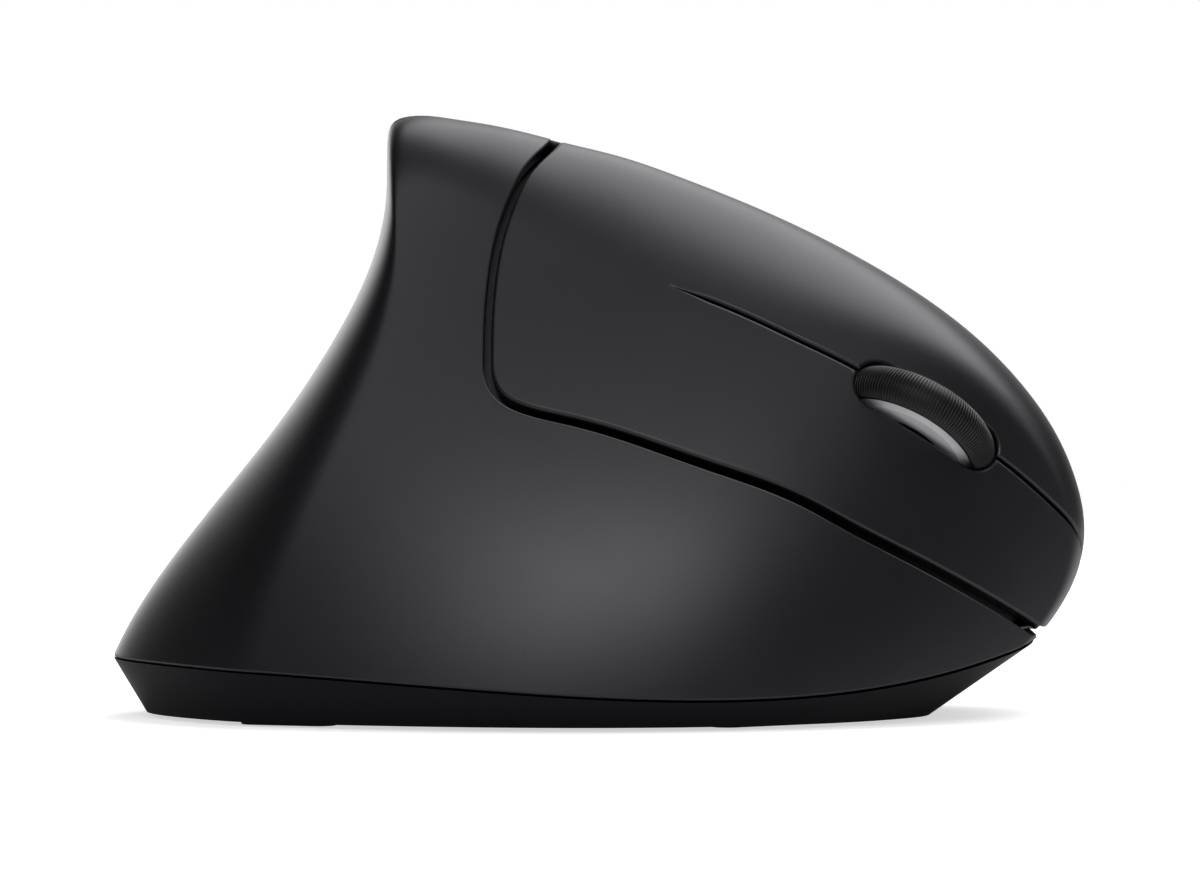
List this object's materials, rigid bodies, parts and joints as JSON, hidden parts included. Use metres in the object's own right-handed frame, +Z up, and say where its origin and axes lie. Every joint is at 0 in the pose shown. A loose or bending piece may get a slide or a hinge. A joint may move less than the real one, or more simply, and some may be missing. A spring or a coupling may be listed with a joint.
{
  "type": "computer mouse",
  "caption": "Upright ergonomic wireless mouse for the right hand: a tall leaning shell with two main buttons and a scroll wheel on the finger side and thumb buttons on the other side.",
  "frame": {"origin": "middle of the underside of the whole mouse, on the table its feet stand on", "axes": "+Z up, +Y towards the front end with the scroll wheel, +X towards the finger side"},
  "size_m": [0.0594, 0.1198, 0.0737],
  "materials": {
    "shell_plastic": "satin",
    "thumb_button_plastic": "satin",
    "base_plastic": "satin",
    "soft_grip": "matte",
    "tyre_rubber": "matte",
    "hub_plastic": "satin",
    "ring_metal": "polished bevel",
    "steel": "plain",
    "inner_plastic": "moulded",
    "board_green": "lacquered",
    "switch_plastic": "moulded",
    "plunger_plastic": "moulded",
    "lens_clear": "clear moulded plastic",
    "battery_wrap": "plain sleeve",
    "receiver_plastic": "satin",
    "foot_plastic": "smooth"
  },
  "bodies": {
    "housing": {"palm_shell": "shell_plastic", "thumb_shell": "shell_plastic", "button_plate": "shell_plastic", "base": "base_plastic", "thumb_grip": "soft_grip", "battery_plate_1": "steel", "battery_plate_2": "steel", "battery_spring_1": "steel", "battery_spring_2": "steel", "base_screw_1": "steel", "base_screw_2": "steel", "base_screw_3": "steel", "base_screw_4": "steel", "inner_frame": "inner_plastic", "button_board": "board_green", "main_board": "board_green", "thumb_board": "board_green", "click_switch": "switch_plastic", "left_switch": "switch_plastic", "right_switch": "switch_plastic", "thumb_button_back_switch": "switch_plastic", "thumb_button_forward_switch": "switch_plastic", "speed_button_switch": "switch_plastic", "power_switch": "switch_plastic", "optical_sensor": "switch_plastic", "sensor_lens": "lens_clear", "battery_1": "battery_wrap", "battery_2": "battery_wrap", "glide_foot_1": "foot_plastic", "glide_foot_2": "foot_plastic", "glide_foot_3": "foot_plastic", "glide_foot_4": "foot_plastic"},
    "left_button": {"left_button": "shell_plastic", "left_plunger": "plunger_plastic"},
    "right_button": {"right_button": "shell_plastic", "right_plunger": "plunger_plastic"},
    "wheel_carrier": {"wheel_carrier": "inner_plastic", "wheel_encoder": "inner_plastic", "click_plunger": "plunger_plastic"},
    "wheel": {"wheel_tyre": "tyre_rubber", "wheel_hub": "hub_plastic", "wheel_ring_lower": "ring_metal", "wheel_ring_upper": "ring_metal", "wheel_axle": "steel"},
    "thumb_button_back": {"thumb_button_back": "thumb_button_plastic", "thumb_button_back_plunger": "plunger_plastic"},
    "thumb_button_forward": {"thumb_button_forward": "thumb_button_plastic", "thumb_button_forward_plunger": "plunger_plastic"},
    "speed_button": {"speed_button": "thumb_button_plastic", "speed_button_plunger": "plunger_plastic"},
    "power_slider": {"power_slider": "base_plastic"},
    "battery_door": {"battery_door": "base_plastic"},
    "receiver": {"receiver": "receiver_plastic", "receiver_plug": "steel"}
  },
  "joints": [
    {"name": "left_button_press", "type": "hinge", "parent": "housing", "child": "left_button", "pos_m": [0.00487, 0.00705, 0.05356], "axis": [-0.4733, 0.4308, 0.7684], "range_deg": [0, 1], "stiffness_Nm_per_rad": 0.6, "springref_deg": -1.15},
    {"name": "right_button_press", "type": "hinge", "parent": "housing", "child": "right_button", "pos_m": [0.00487, 0.00705, 0.05356], "axis": [-0.4733, 0.4308, 0.7684], "range_deg": [0, 1], "stiffness_Nm_per_rad": 0.6, "springref_deg": -1.15},
    {"name": "wheel_press", "type": "hinge", "parent": "housing", "child": "wheel_carrier", "pos_m": [0.00268, 0.02598, 0.04159], "axis": [-0.4733, 0.4308, 0.7684], "range_deg": [0, 1], "stiffness_Nm_per_rad": 0.8, "springref_deg": -0.86},
    {"name": "wheel_spin", "type": "hinge", "parent": "wheel_carrier", "child": "wheel", "pos_m": [0.00427, 0.03839, 0.03561], "axis": [-0.4733, 0.4308, 0.7684], "continuous": true},
    {"name": "thumb_back_press", "type": "slide", "parent": "housing", "child": "thumb_button_back", "axis": [1, 0, 0], "range_m": [0, 0.0006], "stiffness_N_per_m": 400, "springref_m": -0.001},
    {"name": "thumb_forward_press", "type": "slide", "parent": "housing", "child": "thumb_button_forward", "axis": [1, 0, 0], "range_m": [0, 0.0006], "stiffness_N_per_m": 400, "springref_m": -0.001},
    {"name": "speed_press", "type": "slide", "parent": "housing", "child": "speed_button", "axis": [1, 0, 0], "range_m": [0, 0.0006], "stiffness_N_per_m": 400, "springref_m": -0.001},
    {"name": "power_slide", "type": "slide", "parent": "housing", "child": "power_slider", "axis": [0, 1, 0], "range_m": [0, 0.0026]},
    {"name": "battery_door_out", "type": "slide", "parent": "housing", "child": "battery_door", "axis": [0, 0, -1], "range_m": [0, 0.014]},
    {"name": "receiver_out", "type": "slide", "parent": "housing", "child": "receiver", "axis": [0, 0, -1], "range_m": [0, 0.017]}
  ]
}
